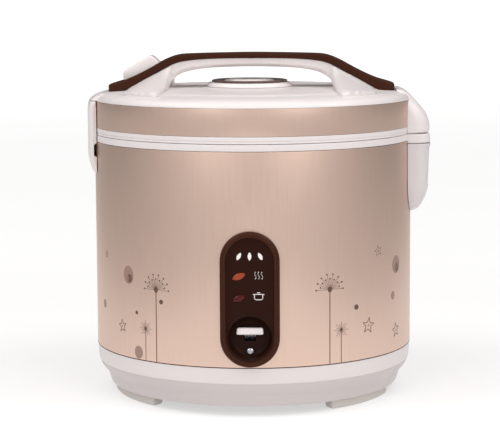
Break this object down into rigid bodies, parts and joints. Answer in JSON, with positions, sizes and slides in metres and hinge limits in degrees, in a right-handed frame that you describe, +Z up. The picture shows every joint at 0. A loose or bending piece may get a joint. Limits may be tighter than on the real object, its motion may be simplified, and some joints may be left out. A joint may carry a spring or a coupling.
{
  "type": "rice cooker",
  "caption": "Round jar rice cooker with an arched carrying handle on a side-hinged lid, a front lever panel, a loose inner pot and a clip-on dew cup.",
  "frame": {"origin": "centre of the whole object's footprint, on the surface that it stands on", "axes": "+Z up, control panel facing -Y, latch on -X, lid hinge on +X"},
  "size_m": [0.2805, 0.2678, 0.2779],
  "materials": {
    "white_plastic": "smooth gloss",
    "inner_white": "fine satin",
    "champagne_metal": "brushed satin metallic",
    "brown_plastic": "satin gloss",
    "dark_trim": "satin",
    "aluminium_bright": "spun",
    "aluminium_cast": "cast and faced",
    "steel": "bright plated",
    "brass": "plain",
    "grey_rubber": "matt",
    "orange_lens": "clear gloss",
    "red_lens": "clear gloss",
    "lamp_glass": "clear",
    "black_plastic": "fine matt",
    "clear_cup": "slightly translucent gloss"
  },
  "bodies": {
    "cooker_body": {"base_shell": "white_plastic", "bottom_plate": "grey_rubber", "base_screw_1": "steel", "base_screw_2": "steel", "base_screw_3": "steel", "base_screw_4": "steel", "foot_front_left": "grey_rubber", "foot_front_right": "grey_rubber", "foot_rear_right": "grey_rubber", "foot_rear_left": "grey_rubber", "outer_shell": "champagne_metal", "top_rim": "white_plastic", "hinge_pin": "steel", "inner_drum": "aluminium_bright", "keep_warm_band": "grey_rubber", "heating_plate": "aluminium_cast", "thermostat_housing": "steel", "sensor_spring": "steel", "lever_bracket": "steel", "micro_switch": "black_plastic", "terminal_block": "inner_white", "thermal_fuse": "brass", "warm_lamp": "lamp_glass", "cook_lamp": "lamp_glass", "control_panel": "brown_plastic", "warm_lens": "orange_lens", "cook_lens": "red_lens", "panel_screw": "steel", "power_inlet": "black_plastic", "inlet_pin_1": "brass", "inlet_pin_2": "brass", "inlet_pin_3": "brass", "latch_catch": "white_plastic"},
    "lid": {"lid_top": "white_plastic", "hinge_cover": "white_plastic", "handle_cover": "brown_plastic", "handle_body": "white_plastic", "lid_band": "champagne_metal", "lid_ring": "white_plastic", "lid_liner": "inner_white", "lid_seal": "grey_rubber", "inner_lid": "aluminium_bright", "steam_tube": "inner_white", "inner_lid_grommet": "grey_rubber", "vent_boss": "white_plastic", "vent_ring": "dark_trim", "button_spring": "steel", "handle_screw_left": "steel", "handle_screw_right": "steel", "latch_pin": "steel", "latch_bracket": "steel"},
    "vent_cap": {"vent_cap": "aluminium_bright"},
    "release_button": {"release_button": "white_plastic"},
    "latch_clip": {"latch_clip": "white_plastic"},
    "cook_lever": {"cook_lever": "white_plastic"},
    "magnet_plunger": {"magnet_plunger": "steel"},
    "sensor_cap": {"sensor_cap": "aluminium_bright"},
    "inner_pot": {"inner_pot": "aluminium_bright"},
    "dew_collector": {"dew_collector": "clear_cup"}
  },
  "joints": [
    {"name": "lid_open", "type": "hinge", "parent": "cooker_body", "child": "lid", "pos_m": [0.1361, 0, 0.2163], "axis": [0, 1, 0], "range_deg": [0, 85]},
    {"name": "button_press", "type": "slide", "parent": "lid", "child": "release_button", "axis": [0.4561, 0, -0.8899], "range_m": [0, 0.003], "stiffness_N_per_m": 400, "springref_m": -0.002},
    {"name": "latch_swing", "type": "hinge", "parent": "lid", "child": "latch_clip", "pos_m": [-0.1376, 0, 0.236], "axis": [0, 1, 0], "range_deg": [0, 5]},
    {"name": "vent_lift", "type": "slide", "parent": "lid", "child": "vent_cap", "axis": [0, 0, 1], "range_m": [0, 0.009]},
    {"name": "lever_press", "type": "hinge", "parent": "cooker_body", "child": "cook_lever", "pos_m": [-0.0047, -0.045, 0.0255], "axis": [1, 0, 0], "range_deg": [0, 3.8], "stiffness_Nm_per_rad": 0.4, "springref_deg": -5.73},
    {"name": "plunger_lift", "type": "slide", "parent": "cooker_body", "child": "magnet_plunger", "axis": [0, 0, 1], "range_m": [0, 0.003]},
    {"name": "sensor_press", "type": "slide", "parent": "cooker_body", "child": "sensor_cap", "axis": [0, 0, 1], "range_m": [-0.003, 0], "stiffness_N_per_m": 300, "springref_m": 0.004, "deforming": ["sensor_spring"]},
    {"name": "pot_turn", "type": "hinge", "parent": "cooker_body", "child": "inner_pot", "pos_m": [-0.0047, 0, 0.0626], "axis": [0, 0, 1], "range_deg": [-30, 30]},
    {"name": "dew_slide", "type": "slide", "parent": "cooker_body", "child": "dew_collector", "axis": [1, 0, 0], "range_m": [0, 0.03]}
  ],
  "couplings": [
    {"joint": "latch_swing", "follows": "button_press", "rad_per_m": 29},
    {"joint": "plunger_lift", "follows": "lever_press", "m_per_rad": 0.045}
  ]
}
